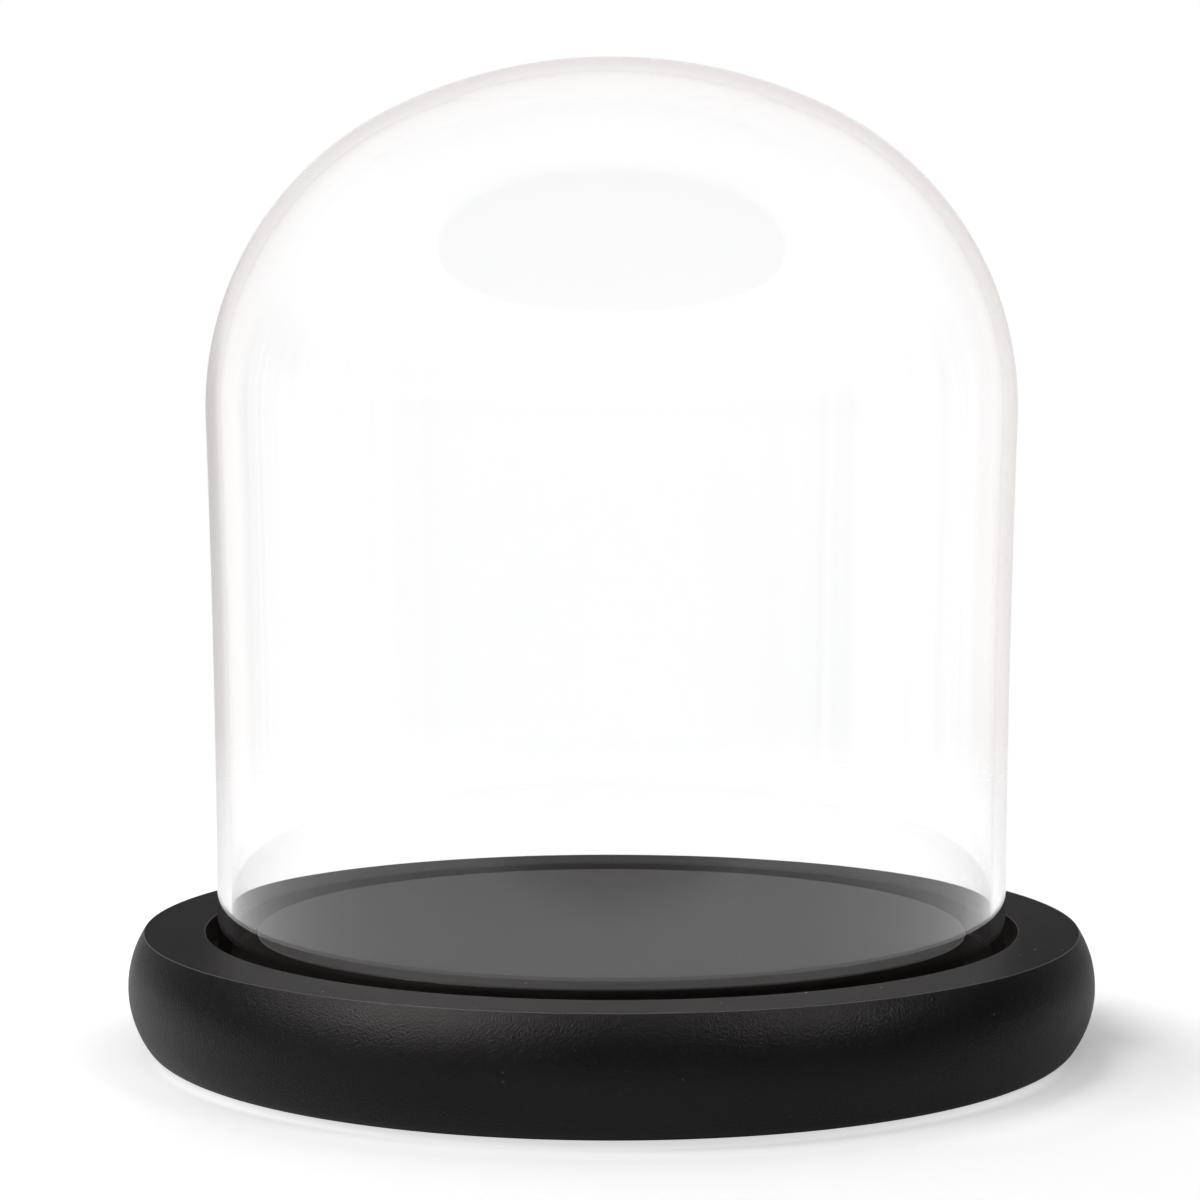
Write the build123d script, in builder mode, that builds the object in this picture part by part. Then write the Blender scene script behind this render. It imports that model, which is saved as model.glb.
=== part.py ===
from build123d import *
from math import atan2, degrees, sqrt
import os

# Bell jar dome: a glass bell standing in the turned groove of a round wooden base.
#
# Millimetres, +Z up. The origin is the centre of the resting surface under the felt pads,
# and +Z is the common axis of the bell and the base.

# ---- glass bell -------------------------------------------------------------
BELL_HEIGHT = 165.7          # rim to crown, outside
BELL_RIM_RADIUS = 73.5       # outside, just above the rim
BELL_WAIST = 1.5             # how much narrower the bell is at its rim than at its shoulder
GLASS_WALL = 2.5
KNUCKLE_RADIUS = 61.2        # outside arc from the side wall into the crown
CROWN_RADIUS = 92.2          # outside arc over the crown

# ---- turned wooden base -----------------------------------------------------
BASE_THICKNESS = 21.6
GROOVE_DEPTH = 5.0
GROOVE_OUTER_CLEARANCE = 2.3  # bell to the groove's outer wall
GROOVE_INNER_CLEARANCE = 4.9  # bell to the plateau's edge
LEDGE_WIDTH = 11.2           # flat ring outside the groove
SIDE_BULGE = 3.0             # how far the side swells past the ledge's crisp edge
SIDE_ARC_RADIUS = 17.6       # rounded side, from the ledge's crisp edge to the underside
FOOT_ROUND = 4.0             # rounding between the side and the underside
ARRIS = 0.3                  # sanded break on the groove's upper edges and the crisp edge

# ---- felt pads --------------------------------------------------------------
PAD_COUNT = 4
PAD_RADIUS = 8.0
PAD_THICKNESS = 1.0
PAD_SET_IN = 2.0             # end of the foot's rounding to the pad's edge
PAD_FIRST_ANGLE = 45.0

# ---- clearances between pieces ----------------------------------------------
BELL_SEAT_GAP = 0.1          # rim to the groove's floor, so that round and flat never overlap

# ---- levels -----------------------------------------------------------------
underside_z = PAD_THICKNESS
top_z = underside_z + BASE_THICKNESS
groove_floor_z = top_z - GROOVE_DEPTH
rim_z = groove_floor_z + BELL_SEAT_GAP
crown_z = rim_z + BELL_HEIGHT

# ---- radii of the base, outwards from the bell ------------------------------
plateau_radius = BELL_RIM_RADIUS - GLASS_WALL - GROOVE_INNER_CLEARANCE
groove_radius = BELL_RIM_RADIUS + GROOVE_OUTER_CLEARANCE
ledge_radius = groove_radius + LEDGE_WIDTH
widest_radius = ledge_radius + SIDE_BULGE

# The side is one arc from the ledge's crisp edge, round past the widest level, to the underside.
side_centre_radius = widest_radius - SIDE_ARC_RADIUS
edge_reach = ledge_radius - side_centre_radius
edge_rise = sqrt(SIDE_ARC_RADIUS**2 - edge_reach**2)
widest_z = top_z - edge_rise
foot_drop = widest_z - underside_z
foot_reach = sqrt(SIDE_ARC_RADIUS**2 - foot_drop**2)
foot_radius = side_centre_radius + foot_reach
edge_angle = degrees(atan2(edge_rise, edge_reach))
foot_angle = degrees(atan2(foot_drop, foot_reach))

# ---- centres of the bell's tangent arcs -------------------------------------
shoulder_radius = BELL_RIM_RADIUS + BELL_WAIST
knuckle_reach = shoulder_radius - KNUCKLE_RADIUS
centre_drop = sqrt((CROWN_RADIUS - KNUCKLE_RADIUS) ** 2 - knuckle_reach**2)
crown_centre_z = crown_z - CROWN_RADIUS
knuckle_centre_z = crown_centre_z + centre_drop
crown_start = degrees(atan2(centre_drop, knuckle_reach))

# The side wall is upright at the rim and bends out by BELL_WAIST on one long arc,
# which meets the knuckle's arc just below the shoulder. Its centre is outside the bell.
rim_round = GLASS_WALL / 2
wall_start_z = rim_z + rim_round
wall_height = knuckle_centre_z - wall_start_z
flare_radius = wall_height**2 / (2 * BELL_WAIST) - KNUCKLE_RADIUS + BELL_WAIST / 2
flare_centre_radius = BELL_RIM_RADIUS + flare_radius
flare_angle = degrees(atan2(wall_height, flare_centre_radius - knuckle_reach))


def bell_outline(inset):
    """Draw the bell's section from the rim to the axis, that far inside its outer face."""
    CenterArc(
        (flare_centre_radius, wall_start_z), flare_radius + inset, 180 - flare_angle, flare_angle
    )
    CenterArc(
        (knuckle_reach, knuckle_centre_z), KNUCKLE_RADIUS - inset, -flare_angle,
        flare_angle + crown_start,
    )
    CenterArc((0, crown_centre_z), CROWN_RADIUS - inset, crown_start, 90 - crown_start)


# ---- the glass bell: one blown shell with a fire-polished rim ---------------
with BuildPart() as glass_dome:
    with BuildSketch(Plane.XZ):
        with BuildLine():
            bell_outline(0)
            bell_outline(GLASS_WALL)
            Line((0, crown_z), (0, crown_z - GLASS_WALL))
            CenterArc((BELL_RIM_RADIUS - rim_round, wall_start_z), rim_round, 180, 180)
        make_face()
    revolve(axis=Axis.Z)

# ---- the base: one turned disc with a ledge, a groove and a plateau ---------
with BuildPart() as turned_base:
    with BuildSketch(Plane.XZ) as base_section:
        with BuildLine():
            CenterArc(
                (side_centre_radius, widest_z), SIDE_ARC_RADIUS, -foot_angle,
                foot_angle + edge_angle,
            )
            Polyline(
                (ledge_radius, top_z),
                (groove_radius, top_z),
                (groove_radius, groove_floor_z),
                (plateau_radius, groove_floor_z),
                (plateau_radius, top_z),
                (0, top_z),
                (0, underside_z),
                (foot_radius, underside_z),
            )
        make_face()
        foot_corner = base_section.vertices().sort_by_distance((foot_radius, underside_z))[0]
        fillet(foot_corner, radius=FOOT_ROUND)
        top_corners = base_section.vertices().group_by(Axis.Y)[-1].sort_by(Axis.X)[1:]
        chamfer(top_corners, length=ARRIS)
    revolve(axis=Axis.Z)

# ---- the felt pads stuck under the base, on one circle ----------------------
pad_circle_radius = foot_radius - FOOT_ROUND - PAD_SET_IN - PAD_RADIUS
pad_places = PolarLocations(pad_circle_radius, PAD_COUNT, start_angle=PAD_FIRST_ANGLE)

felt_pads = []
for number, place in enumerate(pad_places, start=1):
    with BuildPart() as felt_pad:
        with BuildSketch(Plane.XY):
            with Locations(place):
                Circle(PAD_RADIUS)
        extrude(amount=PAD_THICKNESS)
    felt_pad.part.label = f"felt_pad_{number}"
    felt_pads.append(felt_pad.part)

# ---- export -----------------------------------------------------------------
glass_dome.part.label = "glass_dome"
turned_base.part.label = "turned_base"

os.makedirs("parts", exist_ok=True)
export_step(glass_dome.part, "parts/glass_dome.step")
export_step(turned_base.part, "parts/turned_base.step")
for pad in felt_pads:
    export_step(pad, f"parts/{pad.label}.step")

print(f"base {2 * widest_radius:.1f} across, bell {2 * shoulder_radius:.1f} across")
print(f"overall height {crown_z:.1f}, shoulder level {knuckle_centre_z:.1f}")
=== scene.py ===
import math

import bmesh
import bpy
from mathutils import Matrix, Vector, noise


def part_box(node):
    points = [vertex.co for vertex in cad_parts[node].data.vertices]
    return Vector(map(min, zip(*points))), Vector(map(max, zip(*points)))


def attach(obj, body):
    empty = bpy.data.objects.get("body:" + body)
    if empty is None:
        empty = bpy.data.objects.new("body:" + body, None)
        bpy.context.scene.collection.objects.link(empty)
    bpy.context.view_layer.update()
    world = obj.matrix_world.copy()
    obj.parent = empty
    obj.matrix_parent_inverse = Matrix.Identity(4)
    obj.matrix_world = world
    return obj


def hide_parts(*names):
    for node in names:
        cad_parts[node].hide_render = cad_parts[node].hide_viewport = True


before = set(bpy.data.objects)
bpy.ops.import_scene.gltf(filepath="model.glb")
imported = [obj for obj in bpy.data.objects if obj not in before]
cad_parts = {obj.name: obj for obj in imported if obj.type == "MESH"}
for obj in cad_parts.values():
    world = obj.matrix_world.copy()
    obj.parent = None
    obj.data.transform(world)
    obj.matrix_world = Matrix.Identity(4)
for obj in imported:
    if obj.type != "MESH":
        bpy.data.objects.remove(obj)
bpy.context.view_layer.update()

# Looks of the bell jar dome: a clear glass bell standing in the groove of a black turned base.
#
# Metres, in the CAD's frame. The glass bell and the base are turned again here from the same
# profiles as the CAD solids, fine enough for refraction and highlights.

# ---- sizes, in metres: the same driving values as the CAD model --------------
MM = 0.001
GLASS_WALL = 2.5 * MM
BELL_WAIST = 1.5 * MM
KNUCKLE_RADIUS = 61.2 * MM
CROWN_RADIUS = 92.2 * MM
GROOVE_DEPTH = 5.0 * MM
GROOVE_OUTER_CLEARANCE = 2.3 * MM
GROOVE_INNER_CLEARANCE = 4.9 * MM
LEDGE_WIDTH = 11.2 * MM
SIDE_BULGE = 3.0 * MM
SIDE_ARC_RADIUS = 17.6 * MM
FOOT_ROUND = 4.0 * MM
ARRIS = 0.3 * MM
PAD_COUNT = 4
PAD_EDGE = 0.25 * MM

TURNS = 360                # segments round each turned piece

dome_low, dome_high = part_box("glass_dome")
base_low, base_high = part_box("turned_base")
base_top = base_high.z
rim_radius = base_high.x - SIDE_BULGE - LEDGE_WIDTH - GROOVE_OUTER_CLEARANCE
shoulder_radius = rim_radius + BELL_WAIST


def arc(centre, radius, start, end, steps):
    """Points on an arc in the (radius, height) plane, angles in degrees."""
    angles = [math.radians(start + (end - start) * i / steps) for i in range(steps + 1)]
    return [
        (centre[0] + radius * math.cos(a), centre[1] + radius * math.sin(a)) for a in angles
    ]


def flat(start, end, steps=6, support=0.04 * MM):
    """Points along a straight stretch, with a close one beside each end to keep it flat."""
    length = math.dist(start, end)
    near = min(support / length, 0.25)
    shares = [near] + [i / steps for i in range(1, steps)] + [1 - near]
    return [
        (start[0] + (end[0] - start[0]) * s, start[1] + (end[1] - start[1]) * s) for s in shares
    ]


def turned(name, profile, body, cad_node):
    """A piece turned about Z from its profile. Points on the axis become poles."""
    mesh = bmesh.new()
    rings = []
    for radius, height in profile:
        if radius < 1e-9:
            rings.append([mesh.verts.new((0, 0, height))] * TURNS)
            continue
        rings.append([
            mesh.verts.new((
                radius * math.cos(2 * math.pi * k / TURNS),
                radius * math.sin(2 * math.pi * k / TURNS),
                height,
            ))
            for k in range(TURNS)
        ])
    for lower, upper in zip(rings, rings[1:]):
        for k in range(TURNS):
            corners = [lower[k], lower[(k + 1) % TURNS], upper[(k + 1) % TURNS], upper[k]]
            unique = list(dict.fromkeys(corners))
            if len(unique) > 2:
                mesh.faces.new(unique)
    bmesh.ops.recalc_face_normals(mesh, faces=mesh.faces)
    data = bpy.data.meshes.new(name)
    mesh.to_mesh(data)
    mesh.free()
    data.shade_smooth()
    piece = bpy.data.objects.new(name, data)
    bpy.context.scene.collection.objects.link(piece)
    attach(piece, body)
    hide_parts(cad_node)
    return piece


# ---- the bell's profile: outer face up to the crown, inner face back down ----
crown_z = dome_high.z
rim_z = dome_low.z
knuckle_reach = shoulder_radius - KNUCKLE_RADIUS
centre_drop = math.sqrt((CROWN_RADIUS - KNUCKLE_RADIUS) ** 2 - knuckle_reach**2)
crown_centre = (0, crown_z - CROWN_RADIUS)
knuckle_centre = (knuckle_reach, crown_centre[1] + centre_drop)
crown_start = math.degrees(math.atan2(centre_drop, knuckle_reach))
rim_round = GLASS_WALL / 2
wall_start = rim_z + rim_round
wall_height = knuckle_centre[1] - wall_start
flare_radius = wall_height**2 / (2 * BELL_WAIST) - KNUCKLE_RADIUS + BELL_WAIST / 2
flare_centre = (rim_radius + flare_radius, wall_start)
flare_angle = math.degrees(math.atan2(wall_height, flare_centre[0] - knuckle_reach))


def bell_face(inset):
    """One face of the bell from the rim to the axis, that far inside the outer face."""
    wall = arc(flare_centre, flare_radius + inset, 180, 180 - flare_angle, 30)
    knuckle = arc(knuckle_centre, KNUCKLE_RADIUS - inset, -flare_angle, crown_start, 70)
    crown = arc(crown_centre, CROWN_RADIUS - inset, crown_start, 90, 36)
    return wall[:-1] + knuckle[:-1] + crown[:-1] + [(0, crown[-1][1])]


outer_face = bell_face(0)
inner_face = bell_face(GLASS_WALL)
rim = arc((rim_radius - rim_round, wall_start), rim_round, 180, 360, 20)
bell = turned(
    "bell_glass", list(reversed(inner_face)) + rim[1:-1] + outer_face, "dome", "glass_dome",
)

# Blown glass is faintly uneven, in waves drawn upwards. Every point moves towards the axis.
GLASS_WAVES = 0.05 * MM
WAVES_ROUND = 65           # per metre, round the bell and up it
WAVES_UP = 9
WAVELESS_RADIUS = 0.02     # they fade out towards the axis from here
for vertex in bell.data.vertices:
    spot = Vector((
        vertex.co.x * WAVES_ROUND, vertex.co.y * WAVES_ROUND, vertex.co.z * WAVES_UP
    ))
    radius = math.hypot(vertex.co.x, vertex.co.y)
    fading = min(radius / WAVELESS_RADIUS, 1)
    step = GLASS_WAVES * (0.5 + 0.5 * noise.noise(spot)) * fading
    if radius > 0:
        vertex.co.x -= vertex.co.x / radius * step
        vertex.co.y -= vertex.co.y / radius * step

# ---- the base's profile: from the underside's centre round to the plateau's ---
underside_z = base_low.z
plateau_radius = rim_radius - GLASS_WALL - GROOVE_INNER_CLEARANCE
groove_radius = rim_radius + GROOVE_OUTER_CLEARANCE
ledge_radius = groove_radius + LEDGE_WIDTH
widest_radius = ledge_radius + SIDE_BULGE
side_centre_radius = widest_radius - SIDE_ARC_RADIUS
edge_reach = ledge_radius - side_centre_radius
widest_z = base_top - math.sqrt(SIDE_ARC_RADIUS**2 - edge_reach**2)
groove_floor = base_top - GROOVE_DEPTH
side_centre = (side_centre_radius, widest_z)

# The foot's rounding touches the underside and the side's arc.
foot_centre_z = underside_z + FOOT_ROUND
foot_drop = widest_z - foot_centre_z
foot_reach = math.sqrt((SIDE_ARC_RADIUS - FOOT_ROUND) ** 2 - foot_drop**2)
foot_centre = (side_centre_radius + foot_reach, foot_centre_z)
foot_end = -math.degrees(math.atan2(foot_drop, foot_reach))

# The crisp edge's rounding touches the ledge and the side's arc.
edge_centre_z = base_top - ARRIS
edge_centre_reach = math.sqrt(
    (SIDE_ARC_RADIUS - ARRIS) ** 2 - (edge_centre_z - widest_z) ** 2
)
edge_centre = (side_centre_radius + edge_centre_reach, edge_centre_z)
edge_start = math.degrees(math.atan2(edge_centre_z - widest_z, edge_centre_reach))

base_profile = (
    [(0, underside_z)]
    + flat((0, underside_z), (foot_centre[0], underside_z), 4)
    + arc(foot_centre, FOOT_ROUND, -90, foot_end, 10)
    + arc(side_centre, SIDE_ARC_RADIUS, foot_end, edge_start, 64)[1:]
    + arc(edge_centre, ARRIS, edge_start, 90, 8)[1:]
    + flat((edge_centre[0], base_top), (groove_radius + ARRIS, base_top), 6)
    + arc((groove_radius + ARRIS, base_top - ARRIS), ARRIS, 90, 180, 6)
    + flat((groove_radius, base_top - ARRIS), (groove_radius, groove_floor), 3)
    + [(groove_radius, groove_floor)]
    + flat((groove_radius, groove_floor), (plateau_radius, groove_floor), 6)
    + [(plateau_radius, groove_floor)]
    + flat((plateau_radius, groove_floor), (plateau_radius, base_top - ARRIS), 3)
    + arc((plateau_radius - ARRIS, base_top - ARRIS), ARRIS, 0, 90, 6)
    + flat((plateau_radius - ARRIS, base_top), (0, base_top), 12)
    + [(0, base_top)]
)
base = turned("base_wood", base_profile, "base", "turned_base")

# ---- felt pads: pressed discs with a soft edge and a slightly uneven outline --
PAD_RINGS = (0.3, 0.6, 0.85)    # shares of the pad's radius
PAD_UNEVENNESS = 0.012


def felt_disc(number):
    """One pad, turned about the axis and then moved to its place."""
    cad_node = f"felt_pad_{number}"
    low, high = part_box(cad_node)
    centre = (low + high) / 2
    radius = (high.x - low.x) / 2
    upper = [(0, high.z)] + [(radius * share, high.z) for share in PAD_RINGS]
    upper_edge = arc((radius - PAD_EDGE, high.z - PAD_EDGE), PAD_EDGE, 90, 0, 4)
    lower_edge = arc((radius - PAD_EDGE, low.z + PAD_EDGE), PAD_EDGE, 0, -90, 4)
    lower = [(radius * share, low.z) for share in reversed(PAD_RINGS)] + [(0, low.z)]
    pad = turned(
        f"felt_disc_{number}", upper + upper_edge + lower_edge + lower, "base", cad_node
    )
    for vertex in pad.data.vertices:
        spot = vertex.co * 900 + Vector((number * 7, 0, 0))
        radial = Vector((vertex.co.x, vertex.co.y, 0))
        vertex.co -= radial * PAD_UNEVENNESS * (1 + noise.noise(spot))
        vertex.co.x += centre.x
        vertex.co.y += centre.y
    return pad


pads = [felt_disc(number) for number in range(1, PAD_COUNT + 1)]


# ---- materials ---------------------------------------------------------------
GLASS_IOR = 1.47
SHADOW_STRAIGHT = 0.97     # light that each face of the glass lets through to what lies behind
SHADOW_GRAZING = 0.70
PEEL_DEPTH = 0.13 * MM     # of the lacquer's orange peel
SIDE_ROUGHNESS = (0.28, 0.33)
TOP_ROUGHNESS = 0.6
WORN_ROUGHNESS = 0.16
DUST_SHARE = 0.055         # of the cells that could hold a speck


def material(name):
    """A new node material and its Principled shader, tree and links."""
    made = bpy.data.materials.new(name)
    made.use_nodes = True
    tree = made.node_tree
    shader = next(n for n in tree.nodes if n.type == "BSDF_PRINCIPLED")
    return made, tree, shader


def node(tree, kind, **inputs):
    """Add a node, with its inputs set by name."""
    made = tree.nodes.new(kind)
    for key, value in inputs.items():
        made.inputs[key.replace("_", " ")].default_value = value
    return made


def maths(tree, operation, first, second=None, third=None):
    """A math node fed by sockets or numbers."""
    made = tree.nodes.new("ShaderNodeMath")
    made.operation = operation
    for place, value in enumerate((first, second, third)):
        if value is None:
            continue
        if isinstance(value, (int, float)):
            made.inputs[place].default_value = value
        else:
            tree.links.new(value, made.inputs[place])
    return made.outputs[0]


def mapped(tree, value, from_low, from_high, to_low, to_high):
    """value moved from one range to another by a smooth step."""
    made = node(
        tree, "ShaderNodeMapRange", From_Min=from_low, From_Max=from_high, To_Min=to_low,
        To_Max=to_high,
    )
    made.interpolation_type = "SMOOTHSTEP"
    tree.links.new(value, made.inputs["Value"])
    return made.outputs["Result"]


def blended(tree, share, first, second):
    """first where share is 0, second where it is 1."""
    made = tree.nodes.new("ShaderNodeMix")
    for place, value in (("Factor", share), ("A", first), ("B", second)):
        if isinstance(value, (int, float)):
            made.inputs[place].default_value = value
        else:
            tree.links.new(value, made.inputs[place])
    return made.outputs["Result"]


def blended_colour(tree, share, first, second):
    """As blended, for colours given as sockets or as red, green and blue."""
    made = tree.nodes.new("ShaderNodeMix")
    made.data_type = "RGBA"
    tree.links.new(share, made.inputs[0])
    for place, value in ((6, first), (7, second)):
        if isinstance(value, tuple):
            made.inputs[place].default_value = (*value, 1)
        else:
            tree.links.new(value, made.inputs[place])
    return made.outputs[2]


def clear_glass():
    """Clear blown glass, drawn upwards: faint upright waves and a trace of colour in them."""
    made, tree, shader = material("clear_glass")
    links = tree.links
    place = node(tree, "ShaderNodeTexCoord")
    drawn = node(tree, "ShaderNodeMapping", Scale=(1.0, 1.0, 0.12))
    links.new(place.outputs["Object"], drawn.inputs["Vector"])
    waves = node(tree, "ShaderNodeTexNoise", Scale=70.0, Detail=2.0, Roughness=0.45)
    links.new(drawn.outputs["Vector"], waves.inputs["Vector"])
    links.new(blended_colour(
        tree, waves.outputs["Fac"], (0.991, 0.995, 0.996), (0.997, 0.998, 0.998)
    ), shader.inputs["Base Color"])
    shader.inputs["Roughness"].default_value = 0.0
    shader.inputs["IOR"].default_value = GLASS_IOR
    shader.inputs["Transmission Weight"].default_value = 1.0

    # Its shadow is faint, and deepest where the light grazes the wall.
    path = node(tree, "ShaderNodeLightPath")
    grazing = node(tree, "ShaderNodeLayerWeight", Blend=0.5)
    clear = node(tree, "ShaderNodeBsdfTransparent")
    links.new(blended_colour(
        tree, grazing.outputs["Facing"], (SHADOW_STRAIGHT,) * 3, (SHADOW_GRAZING,) * 3
    ), clear.inputs["Color"])
    faint = node(tree, "ShaderNodeMixShader")
    links.new(path.outputs["Is Shadow Ray"], faint.inputs[0])
    links.new(shader.outputs[0], faint.inputs[1])
    links.new(clear.outputs[0], faint.inputs[2])
    out = next(n for n in tree.nodes if n.type == "OUTPUT_MATERIAL")
    links.new(faint.outputs[0], out.inputs["Surface"])
    return made


def black_lacquer():
    """Black satin lacquer over turned wood: orange peel, a duller flat top and a little dust.

    The crisp edge is smoothed by wear, and its lighter colour is partly wear and partly a painted
    highlight along it.
    """
    made, tree, shader = material("black_lacquer")
    links = tree.links
    place = node(tree, "ShaderNodeTexCoord")
    spot = place.outputs["Object"]
    facing = node(tree, "ShaderNodeSeparateXYZ")
    links.new(place.outputs["Normal"], facing.inputs[0])
    top = mapped(tree, facing.outputs["Z"], 0.8, 0.98, 0, 1)

    patches = node(tree, "ShaderNodeTexNoise", Scale=45.0, Detail=3.0, Roughness=0.55)
    links.new(spot, patches.inputs["Vector"])
    tint = blended_colour(
        tree, patches.outputs["Fac"], (0.0022, 0.0021, 0.0023), (0.0036, 0.0035, 0.0037)
    )
    specks = node(tree, "ShaderNodeTexVoronoi", Scale=620.0, Randomness=1.0)
    links.new(spot, specks.inputs["Vector"])
    split = node(tree, "ShaderNodeSeparateColor")
    links.new(specks.outputs["Color"], split.inputs[0])
    rare = maths(tree, "GREATER_THAN", split.outputs[0], 1 - DUST_SHARE)
    small = mapped(tree, specks.outputs["Distance"], 0.05, 0.18, 1, 0)
    dust = maths(tree, "MULTIPLY", maths(tree, "MULTIPLY", rare, small), split.outputs[1])
    dust = maths(tree, "MULTIPLY", dust, blended(tree, top, 0.15, 1))
    tint = blended_colour(tree, dust, tint, (0.55, 0.53, 0.50))

    where = node(tree, "ShaderNodeSeparateXYZ")
    links.new(spot, where.inputs[0])
    reach = maths(tree, "SQRT", maths(
        tree, "MULTIPLY_ADD", where.outputs["X"], where.outputs["X"],
        maths(tree, "MULTIPLY", where.outputs["Y"], where.outputs["Y"]),
    ))
    # The crisp edge: smoother, and lighter in colour, partly as wear and partly as a painted
    # highlight.
    edge_wear_and_highlight = maths(tree, "MULTIPLY", mapped(tree, facing.outputs["Z"], 0.56, 0.62, 0, 1),
                 maths(tree, "SUBTRACT", 1, top))
    edge_wear_and_highlight = maths(tree, "MULTIPLY", edge_wear_and_highlight, maths(
        tree, "GREATER_THAN", reach, groove_radius + 1 * MM
    ))
    side_gloss = mapped(tree, patches.outputs["Fac"], 0.3, 0.7, *SIDE_ROUGHNESS)
    gloss = blended(tree, top, side_gloss, TOP_ROUGHNESS)
    links.new(blended(tree, edge_wear_and_highlight, gloss, WORN_ROUGHNESS), shader.inputs["Roughness"])
    # Painted highlight: the crisp edge's lighter colour stands partly for wear and partly for the
    # highlight along it.
    links.new(
        blended_colour(tree, edge_wear_and_highlight, tint, (0.08, 0.077, 0.074)), shader.inputs["Base Color"]
    )

    peel = node(tree, "ShaderNodeTexNoise", Scale=2600.0, Detail=2.0, Roughness=0.55)
    links.new(spot, peel.inputs["Vector"])
    bump = node(tree, "ShaderNodeBump", Distance=PEEL_DEPTH)
    links.new(blended(tree, edge_wear_and_highlight, blended(tree, top, 1, 0.3), 0.15), bump.inputs["Strength"])
    links.new(peel.outputs["Fac"], bump.inputs["Height"])
    links.new(bump.outputs["Normal"], shader.inputs["Normal"])
    shader.inputs["Specular IOR Level"].default_value = 0.25
    shader.inputs["Specular Tint"].default_value = (1.0, 0.965, 0.97, 1)
    return made


def stained_groove():
    """The groove's bare wood, stained brown-black: matt, with the turned grain showing faintly."""
    made, tree, shader = material("stained_groove")
    links = tree.links
    place = node(tree, "ShaderNodeTexCoord")
    grain = node(tree, "ShaderNodeTexNoise", Scale=260.0, Detail=4.0, Roughness=0.6)
    links.new(place.outputs["Object"], grain.inputs["Vector"])
    links.new(blended_colour(
        tree, grain.outputs["Fac"], (0.0032, 0.0026, 0.0021), (0.0068, 0.0057, 0.0047)
    ), shader.inputs["Base Color"])
    links.new(mapped(tree, grain.outputs["Fac"], 0.3, 0.7, 0.8, 0.95), shader.inputs["Roughness"])
    shader.inputs["Specular IOR Level"].default_value = 0.04
    return made


def pressed_felt():
    """Dark pressed felt with a fibrous nap."""
    made, tree, shader = material("pressed_felt")
    links = tree.links
    place = node(tree, "ShaderNodeTexCoord")
    fibre = node(tree, "ShaderNodeTexNoise", Scale=2600.0, Detail=6.0, Roughness=0.7)
    links.new(place.outputs["Object"], fibre.inputs["Vector"])
    links.new(blended_colour(
        tree, fibre.outputs["Fac"], (0.016, 0.016, 0.017), (0.06, 0.06, 0.062)
    ), shader.inputs["Base Color"])
    bump = node(tree, "ShaderNodeBump", Strength=0.8, Distance=0.0002)
    links.new(fibre.outputs["Fac"], bump.inputs["Height"])
    links.new(bump.outputs["Normal"], shader.inputs["Normal"])
    shader.inputs["Roughness"].default_value = 0.95
    shader.inputs["Sheen Weight"].default_value = 0.4
    shader.inputs["Sheen Roughness"].default_value = 0.6
    return made


bell.data.materials.append(clear_glass())
base.data.materials.append(black_lacquer())
base.data.materials.append(stained_groove())
for face in base.data.polygons:
    reach = math.hypot(face.center.x, face.center.y)
    if plateau_radius - 0.01 * MM < reach < groove_radius and face.center.z < base_top - ARRIS:
        face.material_index = 1
felt = pressed_felt()
for pad in pads:
    pad.data.materials.append(felt)

# ---- floor and surroundings ------------------------------------------------------
FLOOR_RADIUS = 0.55        # the table top, fading out from FLOOR_SOLID to here
FLOOR_SOLID = 0.20
FLOOR_FRONT = 0.24         # it ends sooner in front
FLOOR_COLOUR = (0.87, 0.88, 0.90)
FLOOR_GLOW = 0.06          # a little light of its own, so that the open floor comes out white
LEFT_GLOW = 0.17           # more of it for the camera, towards the left
RIGHT_GLOW = 0.13          # a softer edge to the shadow on the right
FOOT_GLOW = 0.46           # close under the foot, where the gap would be black
FOOT_RIM_GLOW = (0.12, 0.26)    # and just outside it, in the middle and on the right
FLOOR_THROUGH_GLASS = 0.14
FLOOR_IN_LACQUER = 0.60    # how bright the lacquer mirrors the floor
FLOOR_IN_LACQUER_RIGHT = 0.34
AMBIENT = 0.58             # even light from everywhere
LAMPS = {                  # softboxes: azimuth from +Y to +X, elevation, width, strength
    "key": (-121, 40, 46, 1.92),
    "fill": (126, 38, 24, 0.58),
}
LAMP_COLOUR = (1.0, 0.965, 0.945)
BACKDROP = 1.10            # through the glass, and further up
BACKDROP_HIGH = 1.05
BACKDROP_BELOW = 0.95      # looking down through it
LEFT_CARD = 0.30           # how much darker than white the cards round the backdrop are
RIGHT_CARD = 0.18
FRONT_CARD = 0.63
HIGH_CARD = 0.105
UPPER_CARD = 0.05
STREAKS = 0.28
ROOM_LEFT = 0.10           # the darker room beyond the cards, which the lacquer mirrors
ROOM_RIGHT = 0.03
ROOM_BACK = 0.16           # this much lighter behind
CEILING = 0.7
WARM_ROOM = (1.0, 0.967, 0.957)


def satin_ray(tree, path):
    """1 for a ray straight from the satin lacquer's gloss, 0 for all others."""
    return maths(
        tree, "MULTIPLY", path.outputs["Is Glossy Ray"],
        maths(tree, "SUBTRACT", 1, path.outputs["Is Singular Ray"]),
    )


def through_glass(tree, path):
    """1 for a camera ray that has passed through the glass without being mirrored."""
    bounced = maths(
        tree, "ADD", path.outputs["Diffuse Depth"], path.outputs["Glossy Depth"]
    )
    return maths(
        tree, "MULTIPLY", path.outputs["Is Transmission Ray"],
        maths(tree, "SUBTRACT", 1, maths(tree, "MINIMUM", bounced, 1)),
    )


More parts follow.
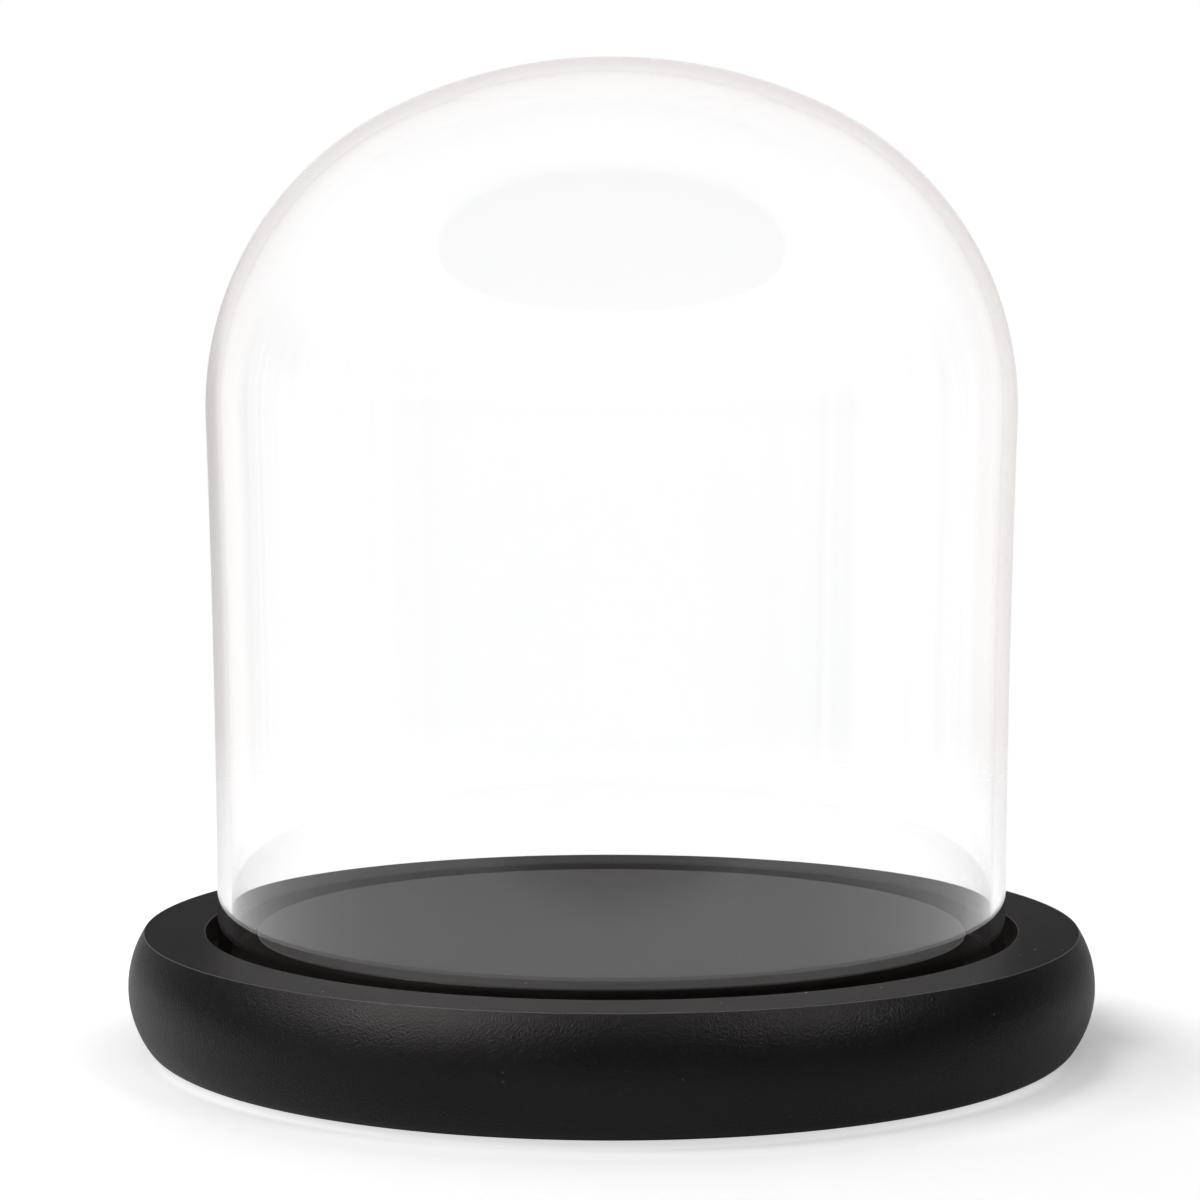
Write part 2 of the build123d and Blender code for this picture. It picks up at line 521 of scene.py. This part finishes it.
def camera_glow(tree, reach, aside, ahead):
    """How much the floor glows for the camera, by the distance and direction from the object.

    aside is 1 to the right and ahead is 1 away from the camera.
    """
    under = maths(tree, "MULTIPLY", mapped(tree, aside, 0.2, 0.7, 1, 0.7), mapped(
        tree, reach, widest_radius - 7 * MM, widest_radius - 2.5 * MM, FOOT_GLOW, 0,
    ))
    beside = maths(tree, "MULTIPLY", mapped(tree, aside, 0.2, 0.7, *FOOT_RIM_GLOW), mapped(
        tree, reach, widest_radius - 2.5 * MM, widest_radius + 6 * MM, 1, 0,
    ))
    foot = maths(tree, "MULTIPLY", maths(tree, "ADD", under, beside), mapped(
        tree, ahead, -0.7, 0.1, 1, 0.1
    ))
    right = maths(tree, "MULTIPLY", mapped(tree, aside, 0.4, 0.8, 0, 1), mapped(
        tree, ahead, -0.2, 0.05, 1, 0
    ))
    right = maths(tree, "MULTIPLY", right, mapped(
        tree, reach, widest_radius, widest_radius + 5 * MM, 0, RIGHT_GLOW,
    ))
    right = maths(tree, "MULTIPLY", right, mapped(
        tree, reach, widest_radius + 5 * MM, widest_radius + 18 * MM, 1, 0,
    ))
    left = maths(tree, "MULTIPLY", mapped(tree, aside, -0.9, 0.3, LEFT_GLOW, 0),
                 mapped(tree, ahead, -0.8, -0.3, 0.3, 1))
    return maths(tree, "ADD", maths(tree, "ADD", left, foot), right)


def studio_floor():
    """A round pale table top that keeps the object's shadow and fades into the surroundings."""
    mesh = bmesh.new()
    bmesh.ops.create_circle(mesh, cap_ends=True, segments=128, radius=FLOOR_RADIUS)
    data = bpy.data.meshes.new("floor")
    mesh.to_mesh(data)
    mesh.free()
    floor = bpy.data.objects.new("floor", data)
    bpy.context.scene.collection.objects.link(floor)
    made = bpy.data.materials.new("floor")
    made.use_nodes = True
    tree = made.node_tree
    tree.nodes.clear()
    links = tree.links
    place = node(tree, "ShaderNodeTexCoord")

    length = tree.nodes.new("ShaderNodeVectorMath")
    length.operation = "LENGTH"
    links.new(place.outputs["Object"], length.inputs[0])
    reach = length.outputs["Value"]
    split = node(tree, "ShaderNodeSeparateXYZ")
    links.new(place.outputs["Object"], split.inputs[0])
    aside = maths(tree, "DIVIDE", split.outputs["X"], reach)
    ahead = maths(tree, "DIVIDE", split.outputs["Y"], reach)
    path = node(tree, "ShaderNodeLightPath")
    boost = maths(
        tree, "MULTIPLY", camera_glow(tree, reach, aside, ahead), path.outputs["Is Camera Ray"]
    )
    boost = maths(tree, "MULTIPLY_ADD", through_glass(tree, path), FLOOR_THROUGH_GLASS, boost)
    satin = satin_ray(tree, path)
    dimmed = mapped(tree, split.outputs["X"], 0.0, 0.12, FLOOR_IN_LACQUER, FLOOR_IN_LACQUER_RIGHT)
    diffuse = node(tree, "ShaderNodeBsdfDiffuse")
    shade = node(tree, "ShaderNodeHueSaturation", Color=(*FLOOR_COLOUR, 1))
    links.new(blended(tree, satin, 1, dimmed), shade.inputs["Value"])
    links.new(shade.outputs[0], diffuse.inputs["Color"])
    glow = node(tree, "ShaderNodeEmission", Color=(1, 1, 1, 1))
    links.new(maths(tree, "ADD", boost, blended(tree, satin, FLOOR_GLOW, 0)),
              glow.inputs["Strength"])
    both = node(tree, "ShaderNodeAddShader")
    links.new(diffuse.outputs[0], both.inputs[0])
    links.new(glow.outputs[0], both.inputs[1])

    gone = maths(
        tree, "MAXIMUM", mapped(tree, reach, FLOOR_SOLID, FLOOR_RADIUS, 0, 1),
        mapped(tree, split.outputs["Y"], -FLOOR_FRONT - 0.1, -FLOOR_FRONT, 1, 0),
    )
    clear = node(tree, "ShaderNodeBsdfTransparent", Color=(1, 1, 1, 1))
    fade = node(tree, "ShaderNodeMixShader")
    links.new(gone, fade.inputs[0])
    links.new(both.outputs[0], fade.inputs[1])
    links.new(clear.outputs[0], fade.inputs[2])
    out = node(tree, "ShaderNodeOutputMaterial")
    links.new(fade.outputs[0], out.inputs["Surface"])
    data.materials.append(made)


def card_level(tree, x, y, z):
    """How bright the surroundings are that the glass mirrors, by direction.

    White windows stand about every 45 degrees round the horizon, with grey cards between them
    and lighter ones above, and narrow streaks far out on the left and the right.
    """
    turn = maths(tree, "MULTIPLY", maths(tree, "ARCTAN2", y, x), 8)
    turn = maths(tree, "MULTIPLY_ADD", maths(tree, "MULTIPLY", x, x), 0.9, turn)
    window = mapped(tree, maths(tree, "COSINE", turn), -0.6, 0.6, 0, 1)
    window = maths(tree, "MULTIPLY", window, mapped(tree, z, 0.10, 0.36, 1, 0))
    depth = mapped(tree, x, -0.2, 0.2, LEFT_CARD, RIGHT_CARD)
    depth = maths(tree, "MULTIPLY", depth, mapped(tree, x, 0.16, 0.34, 1, 0.4))
    depth = maths(tree, "MULTIPLY", depth, mapped(tree, z, -0.20, -0.03, 0.4, 1))
    front = mapped(tree, y, -0.7, 0.2, 1, 0)
    depth = blended(tree, front, depth, FRONT_CARD)
    window = maths(tree, "MULTIPLY", window, maths(tree, "SUBTRACT", 1, front))
    depth = blended(tree, mapped(tree, z, 0.0, 0.14, 0, 1), depth, HIGH_CARD)
    depth = blended(tree, mapped(tree, z, 0.25, 0.55, 0, 1), depth, UPPER_CARD)
    cards = maths(tree, "SUBTRACT", 1, maths(
        tree, "MULTIPLY", depth, maths(tree, "SUBTRACT", 1, window)
    ))
    drift = maths(tree, "MULTIPLY", maths(tree, "SINE", maths(tree, "MULTIPLY", turn, 1.7)), 3)
    streaks = mapped(
        tree, maths(tree, "SINE", maths(tree, "MULTIPLY_ADD", turn, 5.3, drift)), -0.2, 0.2, 0, 1
    )
    streaks = maths(tree, "MULTIPLY", streaks, mapped(
        tree, maths(tree, "ABSOLUTE", x), 0.72, 0.9, 0, STREAKS
    ))
    cards = maths(tree, "SUBTRACT", cards, maths(tree, "MULTIPLY", streaks, mapped(
        tree, z, 0.1, 0.4, 1, 0
    )))
    low = maths(tree, "MULTIPLY", mapped(tree, x, 0.4, 0.8, 0, 0.25), mapped(
        tree, z, -0.16, -0.08, 1, 0
    ))
    return maths(tree, "SUBTRACT", cards, low)


def room_level(tree, x, y, z):
    """How bright the surroundings are that the satin lacquer mirrors, by direction."""
    room = mapped(tree, x, -0.8, 0.4, ROOM_LEFT, ROOM_RIGHT)
    room = maths(tree, "ADD", room, mapped(tree, y, 0.2, 0.9, 0, ROOM_BACK))
    room = blended(tree, mapped(tree, z, 0.45, 0.85, 0, 1), room, CEILING)
    return blended(tree, mapped(tree, z, -0.12, 0.02, 1, 0), room, mapped(
        tree, x, 0.1, 0.8, FLOOR_IN_LACQUER, FLOOR_IN_LACQUER_RIGHT
    ))


def studio_world():
    """The surroundings: even light, grey cards for the glass and a darker room for the lacquer.

    Seen straight on, or straight through the glass, they are plain white.
    """
    world = bpy.data.worlds.new("studio")
    bpy.context.scene.world = world
    world.use_nodes = True
    tree = world.node_tree
    tree.nodes.clear()
    links = tree.links
    place = node(tree, "ShaderNodeTexCoord")
    split = node(tree, "ShaderNodeSeparateXYZ")
    links.new(place.outputs["Generated"], split.inputs[0])
    x, y, z = split.outputs

    path = node(tree, "ShaderNodeLightPath")
    unlit = maths(tree, "SUBTRACT", 1, maths(tree, "MINIMUM", path.outputs["Diffuse Depth"], 1))
    reflected = maths(
        tree, "MULTIPLY", maths(tree, "MINIMUM", path.outputs["Glossy Depth"], 1), unlit
    )
    level = blended(
        tree, satin_ray(tree, path), card_level(tree, x, y, z), room_level(tree, x, y, z)
    )
    level = blended(tree, reflected, AMBIENT, level)
    backdrop = mapped(tree, z, -0.03, 0.05, BACKDROP, BACKDROP_HIGH)
    backdrop = blended(tree, mapped(tree, z, -0.45, -0.27, 1, 0), backdrop, BACKDROP_BELOW)
    level = blended(tree, through_glass(tree, path), level, backdrop)
    level = blended(tree, path.outputs["Is Camera Ray"], level, 1)
    shader = node(tree, "ShaderNodeBackground")
    links.new(
        blended_colour(tree, reflected, (1, 1, 1), WARM_ROOM), shader.inputs["Color"]
    )
    out = node(tree, "ShaderNodeOutputWorld")
    links.new(level, shader.inputs["Strength"])
    links.new(shader.outputs[0], out.inputs["Surface"])


def studio_lamp(name, azimuth, elevation, width, strength):
    """A warm softbox. The clear bell doesn't mirror it."""
    data = bpy.data.lights.new(name, "SUN")
    data.energy = strength
    data.color = LAMP_COLOUR
    data.angle = math.radians(width)
    data.cycles.use_multiple_importance_sampling = False
    light = bpy.data.objects.new(name, data)
    bpy.context.scene.collection.objects.link(light)
    azimuth, elevation = math.radians(azimuth), math.radians(elevation)
    towards = Vector((
        math.sin(azimuth) * math.cos(elevation),
        math.cos(azimuth) * math.cos(elevation),
        math.sin(elevation),
    ))
    light.rotation_mode = "QUATERNION"
    light.rotation_quaternion = towards.to_track_quat("Z", "Y")


studio_floor()
studio_world()
for name, setting in LAMPS.items():
    studio_lamp(name, *setting)

# ---- camera --------------------------------------------------------------------
CAMERA_DISTANCE = 0.609
CAMERA_HEIGHT = 0.104      # above the ledge
CAMERA_ASIDE = -0.00214
CAMERA_TILT = 4.07         # degrees down
CAMERA_LENS = 98.15

lens = bpy.data.cameras.new("camera")
lens.sensor_width = 36
lens.lens = CAMERA_LENS
lens.clip_start = 0.01
camera = bpy.data.objects.new("camera", lens)
bpy.context.scene.collection.objects.link(camera)
camera.location = (CAMERA_ASIDE, -CAMERA_DISTANCE, base_top + CAMERA_HEIGHT)
camera.rotation_euler = (math.radians(90 - CAMERA_TILT), 0, 0)
bpy.context.scene.camera = camera
bpy.context.scene.view_settings.view_transform = "Standard"
